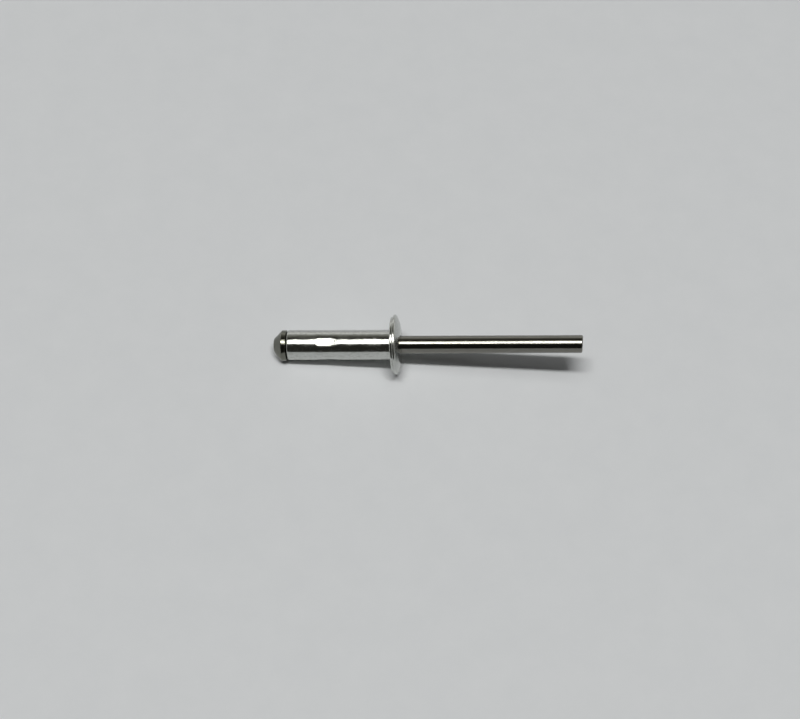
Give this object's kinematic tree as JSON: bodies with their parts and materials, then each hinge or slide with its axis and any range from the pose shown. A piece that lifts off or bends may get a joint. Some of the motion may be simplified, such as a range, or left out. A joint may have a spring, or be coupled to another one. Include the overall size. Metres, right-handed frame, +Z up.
{
  "type": "blind rivet",
  "caption": "Unset blind (pop) rivet: bright domed-flange sleeve on a steel mandrel with a conical head, lying on its side, for joining sheets from one side.",
  "frame": {"origin": "on the surface the rivet lies on, under the middle of its overall length", "axes": "+X along the rivet towards the free end of the mandrel, +Z up; the turned axis lies in the XZ plane and rises 7.6 degrees towards +X, because the rivet rests on the rim of its head and the rim of its flange"},
  "size_m": [0.0494, 0.0096, 0.0101],
  "materials": {
    "sleeve_metal": "satin",
    "mandrel_steel": "satin"
  },
  "bodies": {
    "root": {"sleeve": "sleeve_metal", "mandrel": "mandrel_steel"}
  },
  "joints": []
}
